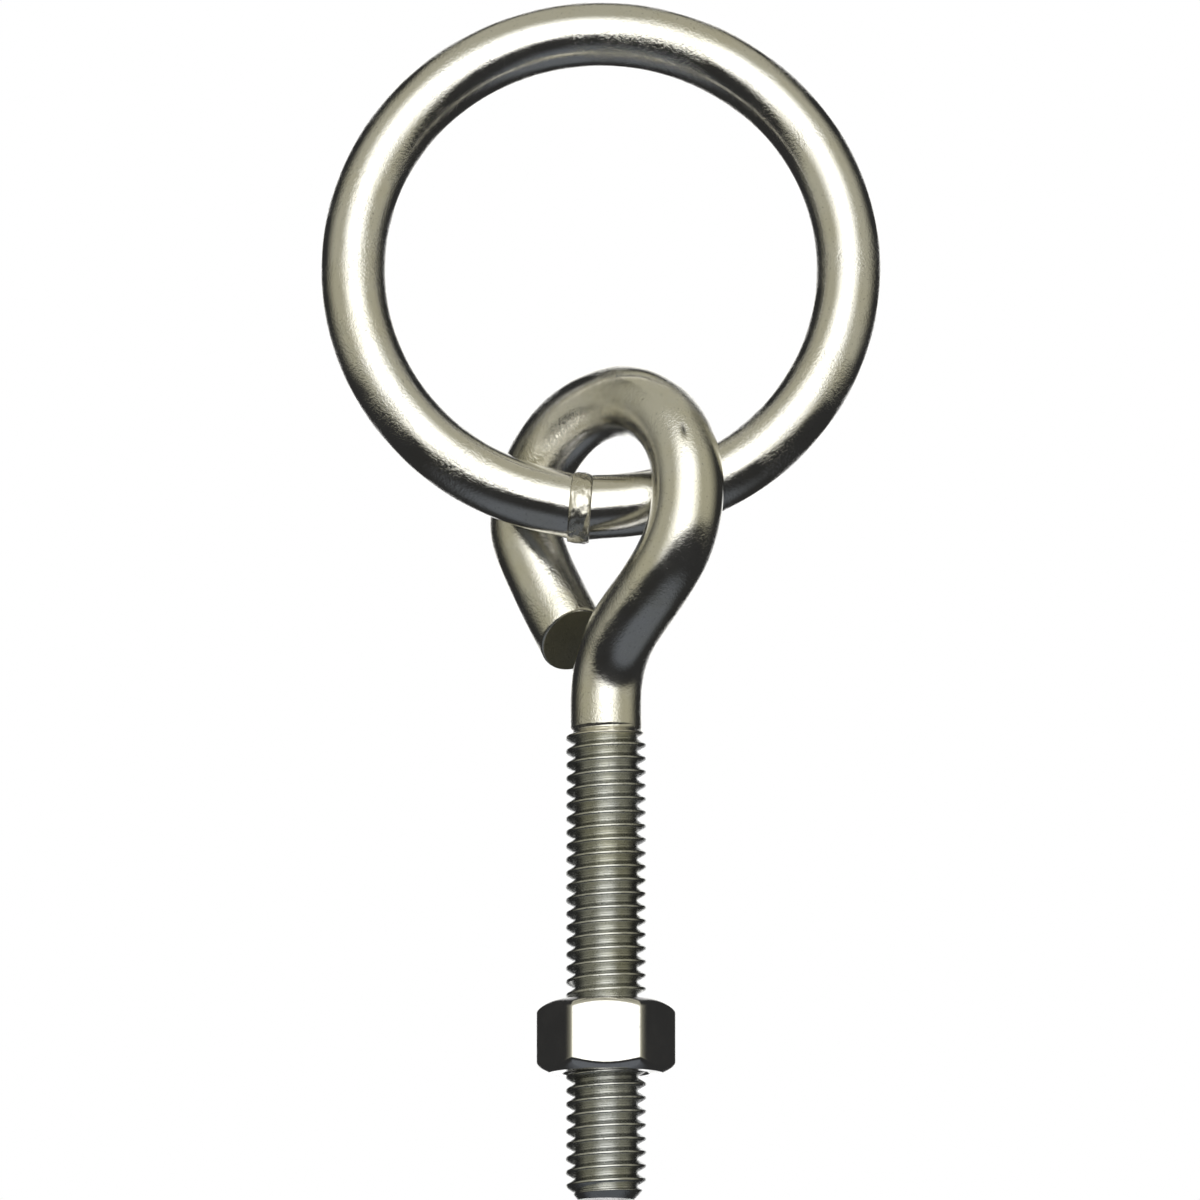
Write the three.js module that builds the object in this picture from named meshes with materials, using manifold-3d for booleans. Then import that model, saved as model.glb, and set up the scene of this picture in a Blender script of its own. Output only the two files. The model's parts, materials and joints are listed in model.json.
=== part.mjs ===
// Eye bolt with a welded ring through its open eye and a hex nut on its thread.
// Millimetres, +Z up. The part hangs by its ring: the origin is on the inside of the ring's
// crown, where a hook bears, and the bolt hangs below it with the thread pointing down.
import * as THREE from 'three';
import { mergeVertices } from 'three/addons/utils/BufferGeometryUtils.js';
import Module from 'manifold-3d';

const wasm = await Module();
wasm.setup();
const radians = THREE.MathUtils.degToRad;

// ---- driving dimensions ----

// Ring: one wire bent round, with short straight ends that meet at a weld
const RING_INNER_DIAMETER = 50.8; // 2 in
const RING_WIRE = 7.6;
const RING_LEAN = 8; // degrees, the crown away from the front
const RING_OFFSET_X = -0.6; // of the ring's centre from the bolt's axis
const RING_DEPTH = 0; // of the wire's centre line in the eye, from the bolt's axis
const RING_HEIGHT = 81.4; // of the wire's centre line in the eye, above the bolt's point
const WELD_ANGLE = -4.6; // degrees from the ring's lowest point, towards -X
const STRAIGHT_ANGLE = 9; // degrees of arc that each straight end stands in for
const WELD_WIDTH = 2.6;
const WELD_PROUD = 0.42;
const WELD_GAP = 0.1;

// Bolt: 3/8-16 UNC with a rolled thread, so the plain rod has about the pitch diameter
const ROD = 8.35;
const PITCH = 1.5875;
const MAJOR_RADIUS = 4.7;
const ROOT_RADIUS = 3.7;
const CREST_FLAT = 0.26;
const FLANK = radians(30);
const THREAD_LENGTH = 55.6;
const RUN_OUT = 1.6;
const POINT_RADIUS = 3.3;

// Eye: a loop of the rod, turned about the shank and leaning a little back
const EYE_RADIUS = 13; // of the rod's centre line
const EYE_TURN = radians(43.2); // about the shank, the closed limb towards the front
const EYE_LEAN = radians(6); // the crown away from the front
const EYE_HEIGHT = 81; // of the loop's centre above the bolt's point
const CLOSED_LIMB = radians(129); // where the loop ends towards the shank, from its crown
const OPEN_LIMB = radians(92); // where it ends towards the cut tip
const OPEN_PULL = 3; // length of the open limb's curve handle
const TIP_ACROSS = -6.5; // middle of the cut tip from the loop's centre, across the eye
const TIP_ALONG = -14.5; // and along it
const TIP_SPREAD = 3.1; // and behind its plane, so that the tip clears the shank
const CUT_ACROSS = 0.38; // lean of the sheared tip from square, towards the closed limb
const CUT_FORWARD = 0.35; // and towards the front
const CUT_REACH = 6; // length of rod that the slanting cut takes up
const NECK_END = 58; // where the shank is straight again, above the bolt's point
const NECK_PULL = 7.5; // length of the neck curve's handles

// Nut: 9/16 in across flats
const NUT_ACROSS_FLATS = 14.29;
const NUT_HEIGHT = 8.33;
const NUT_CENTRE = 18.9; // above the bolt's point
const NUT_CHAMFER = radians(30);
const NUT_BORE_RADIUS = 4.95;
const NUT_COUNTERSINK = 0.7;

// Facets
const ROD_SIDES = 16;
const ROD_STEPS = 46;
const RING_SIDES = 16;
const RING_STEPS = 62;
const THREAD_SIDES = 12;
const NUT_SIDES = 36;

const ringRadius = (RING_INNER_DIAMETER + RING_WIRE) / 2;
const up = new THREE.Vector3(0, 0, 1);

// ---- solids ----

function solid(geometry) {
  const bare = geometry.clone();
  bare.deleteAttribute('normal');
  bare.deleteAttribute('uv');
  const merged = mergeVertices(bare, 1e-4);
  const vertProperties = new Float32Array(merged.attributes.position.array);
  const triVerts = new Uint32Array(merged.index.array);
  return new wasm.Manifold(new wasm.Mesh({ numProp: 3, vertProperties, triVerts }));
}

function geometryOf(shape) {
  const { vertProperties, triVerts } = shape.getMesh();
  const geometry = new THREE.BufferGeometry();
  geometry.setAttribute('position', new THREE.BufferAttribute(vertProperties, 3));
  geometry.setIndex(new THREE.BufferAttribute(triVerts, 1));
  return geometry;
}

// A solid of revolution about Z from [radius, height] pairs that start and end on the axis.
function turned(profile, sides) {
  const points = profile.map(([radius, height]) => new THREE.Vector2(radius, height));
  return new THREE.LatheGeometry(points, sides).rotateX(Math.PI / 2);
}

function roundBar(diameter, path, sides, steps) {
  const outline = [];
  for (let i = 0; i < sides; i += 1) {
    const angle = (2 * Math.PI * i) / sides;
    outline.push(new THREE.Vector2(Math.cos(angle), Math.sin(angle)).multiplyScalar(diameter / 2));
  }
  const options = { steps, extrudePath: path, bevelEnabled: false, curveSegments: 1 };
  return new THREE.ExtrudeGeometry(new THREE.Shape(outline), options);
}

// An arc of a circle in space: centre + radius * (sin * across + cos * along).
class Arc extends THREE.Curve {
  constructor(centre, radius, across, along, start, end) {
    super();
    Object.assign(this, { centre, radius, across, along, start, end });
  }

  getPoint(t, target = new THREE.Vector3()) {
    const angle = this.start + (this.end - this.start) * t;
    return target
      .copy(this.centre)
      .addScaledVector(this.across, this.radius * Math.sin(angle))
      .addScaledVector(this.along, this.radius * Math.cos(angle));
  }
}

function pathOf(curves) {
  const path = new THREE.CurvePath();
  curves.forEach((curve) => path.add(curve));
  return path;
}

// ---- thread ----

// The ridge is a helical bar of trapezoid section. Its crest is cut down at the bolt's point
// and at the run-out, where it sinks into the rod.
function crestRadius(height) {
  const atPoint = POINT_RADIUS + height;
  const atRunOut = MAJOR_RADIUS - Math.max(0, height - THREAD_LENGTH + RUN_OUT);
  const sunk = ROOT_RADIUS - 0.05;
  return Math.max(sunk, Math.min(MAJOR_RADIUS, atPoint, atRunOut));
}

function threadRidge() {
  const base = ROOT_RADIUS - 0.1;
  const halfWidth = (radius) => CREST_FLAT / 2 + (MAJOR_RADIUS - radius) * Math.tan(FLANK);
  const first = halfWidth(base);
  const turns = (THREAD_LENGTH - first) / PITCH;
  const stations = Math.floor(turns * THREAD_SIDES);
  const positions = [];
  const index = [];
  for (let i = 0; i <= stations; i += 1) {
    const angle = (2 * Math.PI * i) / THREAD_SIDES;
    const height = first + (PITCH * i) / THREAD_SIDES;
    const crest = crestRadius(height);
    const section = [
      [base, -halfWidth(base)],
      [crest, -halfWidth(crest)],
      [crest, halfWidth(crest)],
      [base, halfWidth(base)],
    ];
    section.forEach(([radius, rise]) => {
      positions.push(radius * Math.cos(angle), radius * Math.sin(angle), height + rise);
    });
  }
  for (let i = 0; i < stations; i += 1) {
    for (let k = 0; k < 4; k += 1) {
      const a = 4 * i + k;
      const b = 4 * i + ((k + 1) % 4);
      index.push(a, a + 4, b, b, a + 4, b + 4);
    }
  }
  const last = 4 * stations;
  index.push(0, 1, 2, 0, 2, 3);
  index.push(last, last + 2, last + 1, last, last + 3, last + 2);
  const geometry = new THREE.BufferGeometry();
  geometry.setAttribute('position', new THREE.Float32BufferAttribute(positions, 3));
  geometry.setIndex(index);
  return geometry;
}

function threadCore() {
  const chamfer = ROOT_RADIUS - POINT_RADIUS;
  const profile = [
    [0, 0],
    [POINT_RADIUS, 0],
    [ROOT_RADIUS, chamfer],
    [ROOT_RADIUS, THREAD_LENGTH],
    [0, THREAD_LENGTH],
  ];
  return turned(profile, THREAD_SIDES);
}

// ---- eye bolt ----

// The eye's plane: across points from the open limb to the closed one, along to the crown.
const across = new THREE.Vector3(Math.cos(EYE_TURN), -Math.sin(EYE_TURN), 0);
const along = new THREE.Vector3(Math.sin(EYE_TURN), Math.cos(EYE_TURN), 0)
  .multiplyScalar(Math.sin(EYE_LEAN))
  .addScaledVector(up, Math.cos(EYE_LEAN));
const behind = across.clone().cross(along).negate();

function eyePath() {
  const centre = new THREE.Vector3(0, 0, EYE_HEIGHT);
  const loop = new Arc(centre, EYE_RADIUS, across, along, CLOSED_LIMB, -OPEN_LIMB);
  const loopStart = loop.getPoint(0);
  const loopEnd = loop.getPoint(1);
  const shankStart = new THREE.Vector3(0, 0, THREAD_LENGTH - 1);
  const shankEnd = new THREE.Vector3(0, 0, NECK_END);
  const leave = shankEnd.clone().addScaledVector(up, NECK_PULL);
  const arrive = loopStart.clone().addScaledVector(loop.getTangent(0), -NECK_PULL);
  const bend = loopEnd.clone().addScaledVector(loop.getTangent(1), OPEN_PULL);
  const tip = centre.clone().addScaledVector(across, TIP_ACROSS);
  tip.addScaledVector(along, TIP_ALONG).addScaledVector(behind, TIP_SPREAD);
  return pathOf([
    new THREE.LineCurve3(shankStart, shankEnd),
    new THREE.CubicBezierCurve3(shankEnd, leave, arrive, loopStart),
    loop,
    new THREE.QuadraticBezierCurve3(loopEnd, bend, tip),
  ]);
}

// Slants the rod's square end: each point slides along the rod, fully at the tip and less
// and less back from it.
function slantTip(geometry, tip, heading) {
  const normal = heading.clone();
  normal.addScaledVector(across, CUT_ACROSS).addScaledVector(behind, -CUT_FORWARD);
  const position = geometry.attributes.position;
  const offset = new THREE.Vector3();
  for (let i = 0; i < position.count; i += 1) {
    offset.fromBufferAttribute(position, i).sub(tip);
    const ahead = offset.dot(heading);
    offset.addScaledVector(heading, -ahead);
    const inRod = offset.length() < ROD / 2 + 0.05;
    if (inRod && ahead > -CUT_REACH && ahead < 0.01) {
      const slide = -offset.dot(normal) / heading.dot(normal);
      const share = 1 + Math.min(ahead, 0) / CUT_REACH;
      offset.addScaledVector(heading, ahead + slide * share).add(tip);
      position.setXYZ(i, offset.x, offset.y, offset.z);
    }
  }
  return geometry;
}

function eyeBolt() {
  const path = eyePath();
  const bar = roundBar(ROD, path, ROD_SIDES, ROD_STEPS);
  const rod = solid(slantTip(bar, path.getPointAt(1), path.getTangentAt(1)));
  return geometryOf(solid(threadCore()).add(solid(threadRidge())).add(rod));
}

// ---- hex nut ----

function hexNut() {
  const half = NUT_HEIGHT / 2;
  const corner = NUT_ACROSS_FLATS / 2 / Math.cos(Math.PI / 6);
  const washerRadius = NUT_ACROSS_FLATS / 2 - 0.15;
  const fall = (corner + 1 - washerRadius) * Math.tan(NUT_CHAMFER);
  const hexagon = new THREE.CylinderGeometry(corner, corner, NUT_HEIGHT, 6);
  hexagon.rotateX(Math.PI / 2).rotateZ(Math.PI / 2);
  const doubleCone = turned(
    [
      [0, -half],
      [washerRadius, -half],
      [corner + 1, fall - half],
      [corner + 1, half - fall],
      [washerRadius, half],
      [0, half],
    ],
    NUT_SIDES,
  );
  const mouth = NUT_BORE_RADIUS + NUT_COUNTERSINK + 1;
  const bore = turned(
    [
      [0, -half - 1],
      [mouth, -half - 1],
      [NUT_BORE_RADIUS, NUT_COUNTERSINK - half],
      [NUT_BORE_RADIUS, half - NUT_COUNTERSINK],
      [mouth, half + 1],
      [0, half + 1],
    ],
    NUT_SIDES,
  );
  return geometryOf(solid(hexagon).intersect(solid(doubleCone)).subtract(solid(bore)));
}

// ---- ring ----

// In the ring's own frame: its plane is XZ, its centre is the origin, its crown is up.
function ringDirection(angle) {
  return new THREE.Vector3(Math.sin(angle), 0, -Math.cos(angle));
}

const weldAngle = radians(WELD_ANGLE);
const straightAngle = radians(STRAIGHT_ANGLE);
const weldRadius = ringRadius / Math.cos(straightAngle);

function weldFrame(object) {
  object.position.copy(ringDirection(weldAngle).multiplyScalar(weldRadius));
  object.rotation.set(0, Math.PI / 2 - weldAngle, 0);
  return object;
}

function ringWire() {
  const across = new THREE.Vector3(1, 0, 0);
  const down = new THREE.Vector3(0, 0, -1);
  const start = weldAngle + straightAngle;
  const end = weldAngle - straightAngle + 2 * Math.PI;
  const arc = new Arc(new THREE.Vector3(), ringRadius, across, down, start, end);
  const straight = ringRadius * Math.tan(straightAngle) - WELD_WIDTH / 4;
  const first = arc.getPoint(0);
  const last = arc.getPoint(1);
  const path = pathOf([
    new THREE.LineCurve3(first.clone().addScaledVector(arc.getTangent(0), -straight), first),
    arc,
    new THREE.LineCurve3(last, last.clone().addScaledVector(arc.getTangent(1), straight)),
  ]);
  const gapWidth = WELD_WIDTH + 2 * WELD_GAP;
  const gap = new THREE.Mesh(new THREE.CylinderGeometry(RING_WIRE, RING_WIRE, gapWidth, 24));
  gap.geometry.rotateX(Math.PI / 2);
  weldFrame(gap).updateMatrix();
  gap.geometry.applyMatrix4(gap.matrix);
  const bar = solid(roundBar(RING_WIRE, path, RING_SIDES, RING_STEPS));
  return geometryOf(bar.subtract(solid(gap.geometry)));
}

function weldBead() {
  const half = WELD_WIDTH / 2;
  const wire = RING_WIRE / 2;
  const profile = [[0, -half], [wire - 0.1, -half]];
  const rimSteps = 6;
  for (let i = 0; i <= rimSteps; i += 1) {
    const angle = (Math.PI * i) / rimSteps;
    profile.push([wire + WELD_PROUD * Math.sin(angle), -half * Math.cos(angle)]);
  }
  profile.push([wire - 0.1, half], [0, half]);
  return turned(profile, 24);
}

// ---- assembly ----

function steel(color, roughness) {
  return new THREE.MeshStandardMaterial({ color, roughness, metalness: 1 });
}

function piece(name, geometry, material) {
  const mesh = new THREE.Mesh(geometry, material);
  mesh.name = name;
  return mesh;
}

const bolt = piece('eye_bolt', eyeBolt(), steel(0xa8a28c, 0.28));
const nut = piece('hex_nut', hexNut(), steel(0x9a9890, 0.3));
nut.position.z = NUT_CENTRE;

const wire = piece('ring', ringWire(), steel(0xaea894, 0.25));
const bead = weldFrame(piece('ring_weld', weldBead(), steel(0x8f8b7c, 0.45)));
const ring = new THREE.Group();
ring.add(wire, bead);
const lean = radians(RING_LEAN);
ring.rotation.x = -lean;
ring.position.set(
  RING_OFFSET_X,
  RING_DEPTH + ringRadius * Math.sin(lean),
  RING_HEIGHT + ringRadius * Math.cos(lean),
);

// The hook bears on the inside of the crown, at the ring's inner radius.
const part = new THREE.Group();
part.add(bolt, nut, ring);
const reach = ringRadius + RING_INNER_DIAMETER / 2;
part.position.set(
  -RING_OFFSET_X,
  -RING_DEPTH - reach * Math.sin(lean),
  -RING_HEIGHT - reach * Math.cos(lean),
);
part.updateMatrixWorld(true);

export default part;
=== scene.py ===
"""Eye bolt with a welded ring and a hex nut, in bright zinc plated steel."""
import json
import math

import bpy
import numpy as np
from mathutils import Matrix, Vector, noise


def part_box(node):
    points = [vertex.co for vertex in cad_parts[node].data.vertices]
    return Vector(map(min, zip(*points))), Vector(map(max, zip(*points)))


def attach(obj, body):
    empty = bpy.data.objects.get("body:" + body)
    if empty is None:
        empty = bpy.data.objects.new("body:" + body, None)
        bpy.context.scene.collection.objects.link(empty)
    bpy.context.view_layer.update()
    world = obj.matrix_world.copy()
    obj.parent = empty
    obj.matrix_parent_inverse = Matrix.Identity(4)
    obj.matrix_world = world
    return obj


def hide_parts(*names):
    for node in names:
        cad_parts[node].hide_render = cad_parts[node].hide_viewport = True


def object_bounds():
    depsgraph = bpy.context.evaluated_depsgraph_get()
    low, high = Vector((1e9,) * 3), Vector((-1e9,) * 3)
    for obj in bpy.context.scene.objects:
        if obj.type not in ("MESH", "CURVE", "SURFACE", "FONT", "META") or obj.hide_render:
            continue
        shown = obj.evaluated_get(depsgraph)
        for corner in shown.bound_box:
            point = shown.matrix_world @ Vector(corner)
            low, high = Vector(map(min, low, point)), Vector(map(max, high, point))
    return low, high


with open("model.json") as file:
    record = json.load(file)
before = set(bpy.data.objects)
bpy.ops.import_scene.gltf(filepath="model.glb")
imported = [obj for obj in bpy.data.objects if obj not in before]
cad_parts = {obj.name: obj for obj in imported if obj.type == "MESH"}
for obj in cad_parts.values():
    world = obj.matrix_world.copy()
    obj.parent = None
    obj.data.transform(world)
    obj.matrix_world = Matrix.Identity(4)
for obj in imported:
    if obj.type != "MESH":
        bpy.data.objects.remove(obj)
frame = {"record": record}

CAD_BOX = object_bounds()
MM = 0.001
TAU = 2 * math.pi

# ---- places, from the frame ----

MOUNTS = {mount["name"]: Vector(mount["pos_m"]) for mount in frame["record"]["mounts"]}
POINT = MOUNTS["thread_end"]  # centre of the bolt's lower end
NUT_TOP = MOUNTS["nut_seat"].z
HOOK = MOUNTS["hook_seat"]
NUT_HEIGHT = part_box("hex_nut")[1][2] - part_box("hex_nut")[0][2]

# ---- driving dimensions, as in the CAD model ----

RING_WIRE = 7.6 * MM
RING_RADIUS = 29.2 * MM  # of the wire's centre line
RING_LEAN = math.radians(8)
WELD_ANGLE = math.radians(-4.6)
STRAIGHT_ANGLE = math.radians(9)
WELD_WIDTH = 2.6 * MM
WELD_PROUD = 0.42 * MM

ROD = 8.35 * MM
PITCH = 1.5875 * MM
MAJOR_RADIUS = 4.7 * MM
ROOT_RADIUS = 3.7 * MM
CREST_FLAT = 0.26 * MM
FLANK = math.pi / 6
CREST_ROUNDING = 0.10 * MM
ROOT_ROUNDING = 0.12 * MM
THREAD_LENGTH = 55.6 * MM
POINT_RADIUS = 3.3 * MM

EYE_RADIUS = 13 * MM
EYE_TURN = math.radians(43.2)
EYE_LEAN = math.radians(6)
EYE_HEIGHT = 81 * MM
CLOSED_LIMB = math.radians(129)
OPEN_LIMB = math.radians(92)
OPEN_PULL = 3 * MM
TIP_ACROSS = -6.5 * MM
TIP_ALONG = -14.5 * MM
TIP_SPREAD = 3.1 * MM
CUT_ACROSS = 0.38
CUT_FORWARD = 0.35
CUT_REACH = 6 * MM
NECK_END = 58 * MM
NECK_PULL = 7.5 * MM
CUT_EDGE = 0.35 * MM  # rounding of the cut tip's edge
ROD_STEP = 0.3 * MM  # between the rod's rows of points
NICK_X = 9.0 * MM
NICK_Z = 88.7 * MM
NICK_WIDTH = 0.28 * MM
NICK_LENGTH = 0.8 * MM
NICK_DEPTH = 0.3 * MM

NUT_ACROSS_FLATS = 14.29 * MM
NUT_CHAMFER = math.radians(30)
NUT_WASHER_INSET = 0.45 * MM  # of the chamfer's inner edge from the flats
NUT_CORNER_ROUNDING = 0.55 * MM
NUT_CHAMFER_ROUNDING = 0.9 * MM
NUT_CLEARANCE = 0.06 * MM  # of its thread round the bolt's
NUT_MOUTH = MAJOR_RADIUS + 0.45 * MM
NUT_LEAST_BORE = ROOT_RADIUS + 0.16 * MM


# ---- mesh tools ----

def smooth_min(a, b, width):
    """The smaller of two values, rounded over where they are within width of each other."""
    h = np.clip(0.5 + 0.5 * (b - a) / width, 0, 1)
    return b + (a - b) * h - width * h * (1 - h)


def smooth_max(a, b, width):
    return -smooth_min(-a, -b, width)


def piece_from_rows(name, rows, closed):
    """A mesh from rows of points, each row a ring. Closed joins the last row to the first;
    otherwise the end rows are capped with a fan to their middle."""
    rows = np.asarray(rows, dtype=float)
    count, columns, _ = rows.shape
    vertices = rows.reshape(-1, 3)
    i = np.arange(count if closed else count - 1)[:, None]
    j = np.arange(columns)[None, :]
    following = (i + 1) % count
    beside = (j + 1) % columns
    faces = [
        i * columns + j,
        i * columns + beside,
        following * columns + beside,
        following * columns + j,
    ]
    faces = np.stack(np.broadcast_arrays(*faces), axis=-1).reshape(-1, 4).tolist()
    if not closed:
        first, last = len(vertices), len(vertices) + 1
        vertices = np.vstack([vertices, rows[0].mean(0), rows[-1].mean(0)])
        start = (count - 1) * columns
        for k in range(columns):
            k_next = (k + 1) % columns
            faces.append((first, k_next, k))
            faces.append((last, start + k, start + k_next))
    mesh = bpy.data.meshes.new(name)
    mesh.from_pydata(vertices.tolist(), [], faces)
    mesh.update()
    mesh.shade_smooth()
    piece = bpy.data.objects.new(name, mesh)
    bpy.context.scene.collection.objects.link(piece)
    return piece


def mark(piece, name, where):
    """A vertex attribute that is 1 at some of the vertices and 0 at the others."""
    values = piece.data.attributes.new(name, "FLOAT", "POINT")
    values.data.foreach_set("value", where.astype(np.float32))


def transported_frames(points, first_normal):
    """Two normals at each point of a path, carried along it without twist."""
    tangents = np.gradient(points, axis=0)
    tangents /= np.linalg.norm(tangents, axis=1)[:, None]
    normals = np.zeros_like(points)
    normal = np.asarray(first_normal, dtype=float)
    for k, tangent in enumerate(tangents):
        normal = normal - tangent * normal.dot(tangent)
        normal /= np.linalg.norm(normal)
        normals[k] = normal
    return normals, np.cross(tangents, normals)


def bar_rows(points, normals, binormals, radii, columns):
    """Rings of points round a path. radii is one radius per point, or one per point and angle."""
    angles = TAU * np.arange(columns) / columns
    radii = np.broadcast_to(np.reshape(radii, (len(points), -1)), (len(points), columns))
    out = normals[:, None, :] * np.cos(angles)[None, :, None]
    out = out + binormals[:, None, :] * np.sin(angles)[None, :, None]
    return points[:, None, :] + out * radii[:, :, None]


def spread_evenly(points, step):
    """The same path with its points a fixed step apart."""
    lengths = np.linalg.norm(np.diff(points, axis=0), axis=1)
    along = np.concatenate([[0], np.cumsum(lengths)])
    wanted = np.linspace(0, along[-1], int(along[-1] / step) + 1)
    return np.stack([np.interp(wanted, along, points[:, k]) for k in range(3)], axis=1)


def roughened(rows, depth, size, seed):
    """Rows with a little unevenness, as drawn and plated steel has."""
    centre = rows.mean(axis=1, keepdims=True)
    out = rows - centre
    length = np.linalg.norm(out, axis=2)
    offset = Vector((seed * 7.3, seed * 3.1, seed * 5.7))
    for a in range(rows.shape[0]):
        for b in range(rows.shape[1]):
            value = noise.noise(Vector(rows[a, b]) / size + offset)
            out[a, b] *= 1 + depth * value / length[a, b]
    return centre + out


# ---- materials ----

class Nodes:
    """Short calls for building one material's node tree."""

    def __init__(self, name):
        self.material = bpy.data.materials.new(name)
        self.material.use_nodes = True
        self.tree = self.material.node_tree
        self.shader = self.tree.nodes["Principled BSDF"]
        coordinates = self.tree.nodes.new("ShaderNodeTexCoord")
        self.place = coordinates.outputs["Object"]

    def link(self, source, target):
        self.tree.links.new(source, target)

    def noise(self, scale, detail, roughness):
        node = self.tree.nodes.new("ShaderNodeTexNoise")
        node.inputs["Scale"].default_value = scale
        node.inputs["Detail"].default_value = detail
        node.inputs["Roughness"].default_value = roughness
        self.link(self.place, node.inputs["Vector"])
        return node.outputs["Fac"]

    def remap(self, value, low, high, to_low, to_high):
        node = self.tree.nodes.new("ShaderNodeMapRange")
        node.interpolation_type = "SMOOTHSTEP"
        node.inputs["From Min"].default_value = low
        node.inputs["From Max"].default_value = high
        node.inputs["To Min"].default_value = to_low
        node.inputs["To Max"].default_value = to_high
        self.link(value, node.inputs["Value"])
        return node.outputs["Result"]

    def math(self, operation, a, b):
        node = self.tree.nodes.new("ShaderNodeMath")
        node.operation = operation
        for socket, value in zip(node.inputs, (a, b)):
            if isinstance(value, (int, float)):
                socket.default_value = value
            else:
                self.link(value, socket)
        return node.outputs["Value"]

    def mix(self, factor, a, b, blend="MIX"):
        node = self.tree.nodes.new("ShaderNodeMix")
        node.data_type = "RGBA"
        self.link(factor, node.inputs["Factor"])
        node.blend_type = blend
        for socket, value in ((node.inputs[6], a), (node.inputs[7], b)):
            if isinstance(value, tuple):
                socket.default_value = (*value, 1)
            else:
                self.link(value, socket)
        return node.outputs[2]

    def attribute(self, name):
        node = self.tree.nodes.new("ShaderNodeAttribute")
        node.attribute_name = name
        return node.outputs["Fac"]

    def bump(self, height, strength, distance, below=None):
        node = self.tree.nodes.new("ShaderNodeBump")
        node.inputs["Strength"].default_value = strength
        node.inputs["Distance"].default_value = distance
        self.link(height, node.inputs["Height"])
        if below is not None:
            self.link(below, node.inputs["Normal"])
        return node.outputs["Normal"]


def plated_steel(name, clean, tinted, roughness, waves, pits, zones=()):
    """Bright zinc plate: patches of a warmer tint, dull specks, orange peel, grain and pits.

    zones are (attribute, tone, dulling): where a vertex attribute is 1 the colour is
    multiplied by the tone and the roughness is raised."""
    nodes = Nodes(name)
    shader = nodes.shader
    shader.inputs["Metallic"].default_value = 1.0
    patches = nodes.remap(nodes.noise(110, 4, 0.6), 0.40, 0.68, 0, 1)
    colour = nodes.mix(patches, clean, tinted)
    specks = nodes.remap(nodes.noise(3600, 2, 0.6), 0.62, 0.72, 0, 0.5)
    colour = nodes.mix(specks, colour, tuple(0.45 * c for c in clean))
    rough = nodes.remap(nodes.noise(420, 4, 0.6), 0.3, 0.75, roughness * 0.8, roughness * 1.4)
    rough = nodes.math("ADD", rough, nodes.math("MULTIPLY", specks, 0.2))
    for attribute, tone, dulling in zones:
        share = nodes.attribute(attribute)
        colour = nodes.mix(share, colour, tone, "MULTIPLY")
        rough = nodes.math("ADD", rough, nodes.math("MULTIPLY", share, dulling))
    nodes.link(colour, shader.inputs["Base Color"])
    nodes.link(rough, shader.inputs["Roughness"])
    peel = nodes.bump(nodes.noise(300, 2, 0.5), 1.0, waves)
    grain = nodes.bump(nodes.noise(3800, 3, 0.7), 1.0, 0.0000035, peel)
    field = nodes.remap(nodes.noise(130, 3, 0.6), 0.38, 0.66, 0.15, 1)
    pocks = nodes.remap(nodes.noise(3000, 3, 0.65), 0.40, 0.66, 0, 1)
    pitted = nodes.bump(nodes.math("MULTIPLY", pocks, field), 1.0, pits, grain)
    nodes.link(pitted, shader.inputs["Normal"])
    return nodes.material


def finish_piece(piece, material, body, node):
    piece.data.materials.append(material)
    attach(piece, body)
    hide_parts(node)
    return piece


# ---- bolt ----

def thread_radius(height, angle):
    """Radius of a rolled 60 degree thread, with its point, run-out and rounded edges."""
    turn = height / PITCH - angle / TAU
    flank_height = MAJOR_RADIUS - ROOT_RADIUS + 0.1 * MM
    first_crest = (CREST_FLAT / 2 + flank_height * math.tan(FLANK)) / PITCH
    phase = turn - first_crest
    beside = np.abs(phase - np.round(phase)) * PITCH
    flank = MAJOR_RADIUS - (beside - CREST_FLAT / 2) / math.tan(FLANK)
    radius = smooth_min(np.full_like(flank, MAJOR_RADIUS), flank, CREST_ROUNDING)
    radius = smooth_max(radius, ROOT_RADIUS, ROOT_ROUNDING)
    radius = smooth_min(radius, POINT_RADIUS + height * 0.9, 0.15 * MM)
    into_rod = np.clip((height - THREAD_LENGTH + 1.5 * MM) / (1.4 * MM), 0, 1)
    into_rod = into_rod * into_rod * (3 - 2 * into_rod)
    top = MAJOR_RADIUS + (ROD / 2 - MAJOR_RADIUS) * np.clip(into_rod * 1.3, 0, 1)
    radius = smooth_min(radius, top, 0.08 * MM)
    return radius + (ROD / 2 - radius) * into_rod


def quadratic(a, b, c, count):
    t = np.linspace(0, 1, count)[:, None]
    return (1 - t) ** 2 * a + 2 * t * (1 - t) * b + t ** 2 * c


def cubic(a, b, c, d, count):
    t = np.linspace(0, 1, count)[:, None]
    return (1 - t) ** 3 * a + 3 * t * (1 - t) ** 2 * b + 3 * t ** 2 * (1 - t) * c + t ** 3 * d


UP = np.array([0, 0, 1.0])
ACROSS = np.array([math.cos(EYE_TURN), -math.sin(EYE_TURN), 0])
BACK = np.array([math.sin(EYE_TURN), math.cos(EYE_TURN), 0])
ALONG = BACK * math.sin(EYE_LEAN) + UP * math.cos(EYE_LEAN)
BEHIND = -np.cross(ACROSS, ALONG)


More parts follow.
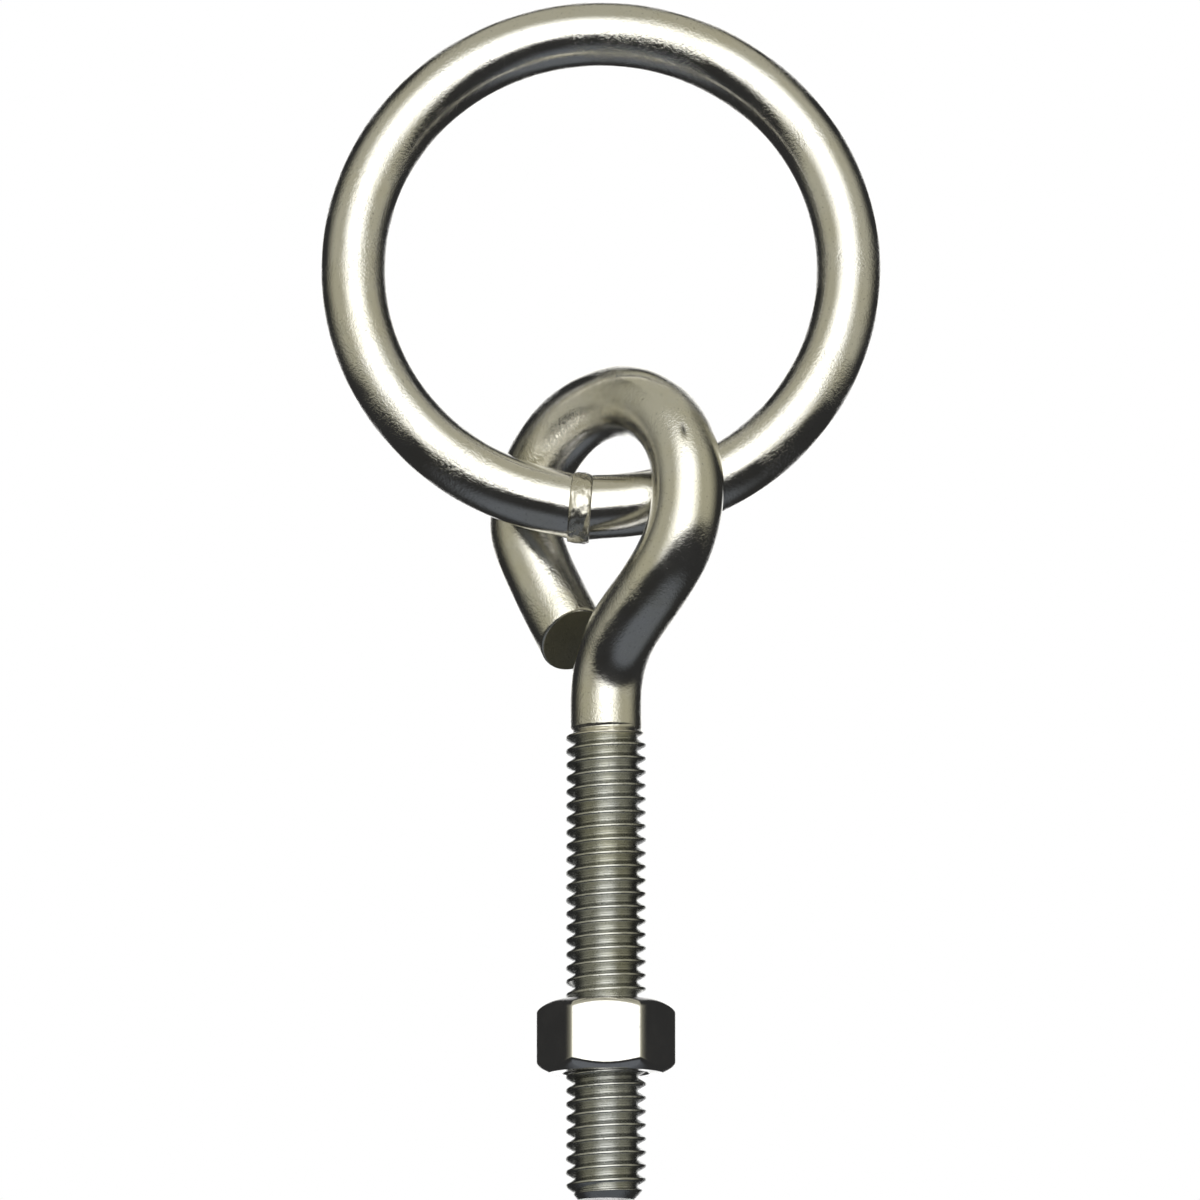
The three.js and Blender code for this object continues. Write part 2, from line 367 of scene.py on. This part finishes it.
def eye_path():
    """Centre line of the plain rod, from the thread's upper end to the cut tip, from the point."""
    up, across, along = UP, ACROSS, ALONG
    centre = up * EYE_HEIGHT
    turn = np.linspace(CLOSED_LIMB, -OPEN_LIMB, 400)[:, None]
    loop = centre + EYE_RADIUS * (np.sin(turn) * across + np.cos(turn) * along)

    def heading(angle):
        return -(math.cos(angle) * across - math.sin(angle) * along)

    start = up * THREAD_LENGTH
    neck_end = up * NECK_END
    neck = cubic(
        neck_end,
        neck_end + up * NECK_PULL,
        loop[0] - heading(CLOSED_LIMB) * NECK_PULL,
        loop[0],
        160,
    )
    bend = loop[-1] + heading(-OPEN_LIMB) * OPEN_PULL
    cut = centre + across * TIP_ACROSS + along * TIP_ALONG + BEHIND * TIP_SPREAD
    tip = quadratic(loop[-1], bend, cut, 120)
    shank = np.linspace(start, neck_end, 20, endpoint=False)
    return spread_evenly(np.vstack([shank, neck, loop[1:], tip[1:]]), ROD_STEP)


def slanted(rows, tip, tangent):
    """Slides points along the rod, fully at the tip, so that its square end becomes slanting."""
    normal = tangent + ACROSS * CUT_ACROSS - BEHIND * CUT_FORWARD
    offset = rows - tip
    ahead = offset @ tangent
    offset = offset - ahead[..., None] * tangent
    slide = -(offset @ normal) / tangent.dot(normal)
    share = np.clip(1 + ahead / CUT_REACH, 0, 1)
    return tip + offset + (ahead + slide * share)[..., None] * tangent


def rounded_end(end, tangent, normals, binormals, columns):
    """Rows that round the rod over at its end, onto the cut face."""
    steps = 6
    closing = []
    for k in range(1, steps + 1):
        turn = math.pi / 2 * k / steps
        drop = CUT_EDGE * (1 - math.cos(turn))
        forward = CUT_EDGE * math.sin(turn)
        middle = end + tangent * (forward - CUT_EDGE)
        closing.append(bar_rows(middle, normals, binormals, [ROD / 2 - drop], columns)[0])
    return np.array(closing)


def nicked(rows):
    """Rows with one small dent in the front of the closed limb, and how deep it is at each; that depth
    share also sets where the dent's painted shade goes.
    """
    beside = (rows[..., 0] - NICK_X) / NICK_WIDTH
    above = (rows[..., 2] - NICK_Z) / NICK_LENGTH
    centre = rows.mean(axis=1, keepdims=True)
    in_front = rows[..., 1] < centre[..., 1]
    share = np.exp(-((beside + 0.5 * above) ** 2) - above ** 2) * in_front
    return rows + (centre - rows) * (share * NICK_DEPTH / ROD)[..., None], share


def build_bolt():
    columns = 96
    rows_per_pitch = 20
    heights = np.arange(0, THREAD_LENGTH, PITCH / rows_per_pitch)
    angles = TAU * np.arange(columns) / columns
    threaded = thread_radius(heights[:, None], angles[None, :])
    origin = np.array(POINT)
    axis_points = heights[:, None] * np.array([0, 0, 1.0])
    x_axis = np.broadcast_to([1.0, 0, 0], axis_points.shape)
    y_axis = np.broadcast_to([0, 1.0, 0], axis_points.shape)
    thread_rows = bar_rows(axis_points, x_axis, y_axis, threaded, columns)
    inset = bar_rows(axis_points[:1], x_axis[:1], y_axis[:1], [POINT_RADIUS * 0.93], columns)
    path = eye_path()
    normals, binormals = transported_frames(path, (1, 0, 0))
    radii = np.full(len(path), ROD / 2)
    rod_rows = bar_rows(path, normals, binormals, radii, columns)
    rod_rows = roughened(rod_rows, 0.035 * MM, 4 * MM, 1)
    tangent = path[-1] - path[-2]
    tangent = tangent / np.linalg.norm(tangent)
    closing = rounded_end(path[-1:], tangent, normals[-1:], binormals[-1:], columns)
    replaced = int(CUT_EDGE / ROD_STEP) + 1
    rod_rows = np.vstack([rod_rows[1:-replaced], closing])
    near_tip = slice(len(rod_rows) - int(CUT_REACH / ROD_STEP) - 8, None)
    rod_rows[near_tip] = slanted(rod_rows[near_tip], path[-1], tangent)
    rows = np.vstack([inset, thread_rows, rod_rows])
    rows, nick_painted_shade = nicked(rows)
    bolt = piece_from_rows("bolt_body", rows + origin, closed=False)
    row_of = np.append(np.repeat(np.arange(len(rows)), columns), [0, len(rows) - 1])
    mark(bolt, "thread", row_of < 1 + len(thread_rows) - rows_per_pitch)
    mark(bolt, "cut_face", row_of >= len(rows) - 2)
    # the nick's depth share also marks where the near black painted shade inside the dent goes
    mark(bolt, "nick_painted_shade", np.append(nick_painted_shade.ravel(), [0, 0]))
    return bolt


# ---- nut ----

def build_nut():
    columns = 432
    half = NUT_HEIGHT / 2
    angles = TAU * np.arange(columns) / columns
    flat = NUT_ACROSS_FLATS / 2
    from_flat = (angles % (math.pi / 3)) - math.pi / 6
    hexagon = flat / np.cos(from_flat)
    corner = flat / math.cos(math.pi / 6)
    hexagon = smooth_min(hexagon, np.full(columns, corner - 0.08 * MM), NUT_CORNER_ROUNDING)
    washer = flat - NUT_WASHER_INSET
    rows = []

    def ring(radius, height):
        radius = np.broadcast_to(radius, (columns,))
        x, y = radius * np.cos(angles), radius * np.sin(angles)
        rows.append(np.stack([x, y, np.full(columns, height)], 1))

    outer_heights = half * np.sin(np.linspace(-math.pi / 2, math.pi / 2, 60))
    for height in outer_heights:
        cone = washer + (half - abs(height)) / math.tan(NUT_CHAMFER)
        ring(smooth_min(hexagon, np.full(columns, cone), NUT_CHAMFER_ROUNDING), height)
    for radius in np.linspace(washer - 0.15 * MM, NUT_MOUTH, 8):
        ring(radius, half)
    for height in np.linspace(half, -half, 110):
        crest = thread_inside(height, angles)
        sink = NUT_MOUTH - (half - abs(height))
        ring(smooth_max(crest, np.full(columns, sink), 0.1 * MM), height)
    for radius in np.linspace(NUT_MOUTH, washer - 0.15 * MM, 8):
        ring(radius, -half)
    return piece_from_rows("nut_body", np.array(rows)[::-1] + nut_centre(), closed=True)


def nut_centre():
    return np.array([POINT.x, POINT.y, NUT_TOP - NUT_HEIGHT / 2])


def thread_inside(height, angles):
    """The nut's thread: the bolt's own profile, moved outwards by the running clearance."""
    on_bolt = height + NUT_TOP - NUT_HEIGHT / 2 - POINT.z
    heights = np.full_like(angles, on_bolt)
    return np.maximum(thread_radius(heights, angles) + NUT_CLEARANCE, NUT_LEAST_BORE)


# ---- ring ----

def ring_point(angle, radius):
    """A point of the ring's plane, in the model's frame, at an angle from the lowest point."""
    centre_to_crown = RING_RADIUS - RING_WIRE / 2
    lean = np.array([0, math.sin(RING_LEAN), math.cos(RING_LEAN)])
    centre = np.array(HOOK) - lean * centre_to_crown
    sideways = np.array([1.0, 0, 0])
    return centre + radius * (math.sin(angle) * sideways - math.cos(angle) * lean)


def ring_path():
    """Closed centre line: an arc, and two straight ends that meet at the weld."""
    points = []
    count = 720
    for k in range(count):
        angle = WELD_ANGLE + TAU * (k + 0.5) / count
        off_weld = abs((angle - WELD_ANGLE + math.pi) % TAU - math.pi)
        short_of_straight = STRAIGHT_ANGLE - min(off_weld, STRAIGHT_ANGLE)
        straight = RING_RADIUS / math.cos(short_of_straight)
        points.append(ring_point(angle, straight))
    return np.array(points)


def build_ring():
    columns = 72
    path = ring_path()
    count = len(path)
    tangents = np.roll(path, -1, 0) - np.roll(path, 1, 0)
    tangents /= np.linalg.norm(tangents, axis=1)[:, None]
    plane_normal = np.cross(tangents[0], tangents[count // 4])
    plane_normal /= np.linalg.norm(plane_normal)
    normals = np.broadcast_to(plane_normal, path.shape)
    binormals = np.cross(tangents, normals)
    rows = bar_rows(path, normals, binormals, np.full(count, RING_WIRE / 2), columns)
    rows = roughened(rows, 0.03 * MM, 5 * MM, 2)
    return piece_from_rows("ring_wire", rows, closed=True)


def build_weld():
    columns = 96
    half = WELD_WIDTH / 2
    tangent = ring_point(WELD_ANGLE + 0.01, RING_RADIUS) - ring_point(WELD_ANGLE - 0.01, RING_RADIUS)
    tangent /= np.linalg.norm(tangent)
    centre = ring_point(WELD_ANGLE, RING_RADIUS / math.cos(STRAIGHT_ANGLE))
    outward = ring_point(WELD_ANGLE, 2 * RING_RADIUS) - centre
    outward /= np.linalg.norm(outward)
    side = np.cross(tangent, outward)
    steps = 30
    points, radii = [], []
    wire = RING_WIRE / 2
    for k in range(steps + 1):
        turn = math.pi * k / steps
        along = -half * math.cos(turn)
        swell = WELD_PROUD * math.sin(turn) ** 0.7 if 0 < k < steps else -0.25 * MM
        points.append(centre + tangent * along)
        radii.append(wire + swell - 0.06 * MM)
    points = np.array(points)
    normals = np.broadcast_to(outward, points.shape)
    binormals = np.broadcast_to(side, points.shape)
    rows = bar_rows(points, normals, binormals, np.array(radii), columns)
    rows = roughened(rows, 0.11 * MM, 0.8 * MM, 3)
    rows = roughened(rows, 0.06 * MM, 0.3 * MM, 4)
    return piece_from_rows("weld_bead", rows, closed=False)


# ---- studio ----

BOX_LEVEL = 1.55
BEHIND_LEVEL = 1.3
DARK = 0.03
SURROUND = (0.41, 0.395, 0.305)
GROUND = (0.10, 0.11, 0.125)


def build_world():
    """A soft white box in front, warm grey around it, dark below and behind."""
    world = bpy.data.worlds.new("studio")
    world.use_nodes = True
    tree = world.node_tree
    tree.nodes.clear()
    bpy.context.scene.world = world

    def node(kind, **settings):
        made = tree.nodes.new(kind)
        for key, value in settings.items():
            setattr(made, key, value)
        return made

    def calc(operation, *values):
        made = node("ShaderNodeMath", operation=operation)
        for socket, value in zip(made.inputs, values):
            if isinstance(value, (int, float)):
                socket.default_value = value
            else:
                tree.links.new(value, socket)
        return made.outputs[0]

    def ramp(value, low, high):
        made = node("ShaderNodeMapRange", interpolation_type="SMOOTHSTEP")
        made.inputs["From Min"].default_value = low
        made.inputs["From Max"].default_value = high
        tree.links.new(value, made.inputs["Value"])
        return made.outputs["Result"]

    direction = node("ShaderNodeTexCoord").outputs["Generated"]
    split = node("ShaderNodeSeparateXYZ")
    tree.links.new(direction, split.inputs["Vector"])
    x, y, z = split.outputs
    azimuth = calc("ARCTAN2", x, calc("MULTIPLY", y, -1.0))  # 0 at the front, to the right +
    elevation = calc("ARCSINE", z)
    rad = math.radians

    def window(value, low, low_full, high_full, high):
        rise = ramp(value, rad(low), rad(low_full))
        fall = ramp(value, rad(high), rad(high_full))
        return calc("MULTIPLY", rise, fall)

    box_across = window(azimuth, -52, -4, 6, 52)
    box_upright = window(elevation, -15, -6, 30, 62)
    box = calc("MULTIPLY", box_across, box_upright)
    around_front = window(azimuth, -118, -70, 70, 118)
    overhead = ramp(elevation, rad(52), rad(62))
    warm = calc("MAXIMUM", around_front, overhead)
    sides = calc("MULTIPLY", warm, ramp(elevation, rad(-15), rad(-4)))
    ground = ramp(elevation, rad(-40), rad(-62))
    back_azimuth = calc("SUBTRACT", math.pi, calc("ABSOLUTE", azimuth))
    behind_across = ramp(back_azimuth, rad(32), rad(18))
    behind = calc("MULTIPLY", behind_across, window(elevation, -14, -6, 30, 50))
    colours = node("ShaderNodeCombineXYZ")
    for k in range(3):
        level = calc("ADD", DARK, calc("MULTIPLY", sides, SURROUND[k]))
        level = calc("ADD", level, calc("MULTIPLY", box, BOX_LEVEL))
        level = calc("ADD", level, calc("MULTIPLY", behind, BEHIND_LEVEL))
        level = calc("ADD", level, calc("MULTIPLY", ground, GROUND[k]))
        tree.links.new(level, colours.inputs[k])
    seen = node("ShaderNodeBackground")
    seen.inputs["Color"].default_value = (1, 1, 1, 1)
    around = node("ShaderNodeBackground")
    tree.links.new(colours.outputs[0], around.inputs["Color"])
    rays = node("ShaderNodeLightPath")
    mixed = node("ShaderNodeMixShader")
    tree.links.new(rays.outputs["Is Camera Ray"], mixed.inputs[0])
    tree.links.new(around.outputs[0], mixed.inputs[1])
    tree.links.new(seen.outputs[0], mixed.inputs[2])
    output = node("ShaderNodeOutputWorld")
    tree.links.new(mixed.outputs[0], output.inputs["Surface"])


def build_floor():
    """A plain pale floor, well below the hanging part. Metal doesn't mirror it."""
    size = 2.0
    below = CAD_BOX[0][2] - 0.25
    corners = [(-size, -size, below), (size, -size, below), (size, size, below), (-size, size, below)]
    mesh = bpy.data.meshes.new("floor")
    mesh.from_pydata(corners, [], [(0, 1, 2, 3)])
    floor = bpy.data.objects.new("floor", mesh)
    bpy.context.scene.collection.objects.link(floor)
    material = bpy.data.materials.new("floor_paper")
    material.use_nodes = True
    shader = material.node_tree.nodes["Principled BSDF"]
    shader.inputs["Base Color"].default_value = (0.9, 0.9, 0.89, 1)
    shader.inputs["Roughness"].default_value = 0.9
    mesh.materials.append(material)
    floor.visible_glossy = False


def build_camera():
    """Long lens, a little below the part and looking slightly up, the bolt's shank upright."""
    distance = 1.2
    below = math.radians(8)
    frame_height = 140.35 * MM  # what the square frame covers at the bolt's axis
    aim = Vector((POINT.x - 0.7 * MM, POINT.y, POINT.z + 70.27 * MM))
    data = bpy.data.cameras.new("camera")
    camera = bpy.data.objects.new("camera", data)
    bpy.context.scene.collection.objects.link(camera)
    data.sensor_fit = "AUTO"
    data.lens_unit = "FOV"
    data.angle = 2 * math.atan(frame_height / 2 / distance)
    data.clip_start = 0.01
    camera.location = aim + distance * Vector((0, -math.cos(below), -math.sin(below)))
    camera.rotation_euler = (math.pi / 2 + below, 0, 0)
    bpy.context.scene.camera = camera


# ---- assembly ----

build_camera()
build_world()
build_floor()
bpy.context.scene.view_settings.view_transform = "Standard"

CLEAN = (0.80, 0.79, 0.755)
BOLT_ZONES = (
    ("thread", (0.74, 0.76, 0.78), 0.07),
    ("cut_face", (0.42, 0.40, 0.31), 0.3),
    # near black at the nick: painted shade inside the small dent, with raised roughness
    ("nick_painted_shade", (0.05, 0.05, 0.05), 0.2),
)
RING_STEEL = plated_steel("ring_plate", CLEAN, (0.77, 0.75, 0.68), 0.13, 0.00002, 0.000018)
BOLT_STEEL = plated_steel("bolt_plate", CLEAN, (0.77, 0.75, 0.66), 0.14, 0.000018, 0.000016, BOLT_ZONES)
NUT_STEEL = plated_steel("nut_plate", (0.82, 0.81, 0.79), (0.80, 0.79, 0.76), 0.13, 0.000003, 0.000003)
WELD_STEEL = plated_steel("weld_plate", (0.72, 0.70, 0.63), (0.64, 0.61, 0.5), 0.22, 0.00002, 0.00003)

finish_piece(build_bolt(), BOLT_STEEL, "bolt", "eye_bolt")
finish_piece(build_nut(), NUT_STEEL, "nut", "hex_nut")
finish_piece(build_ring(), RING_STEEL, "ring", "ring")
finish_piece(build_weld(), WELD_STEEL, "ring", "ring_weld")
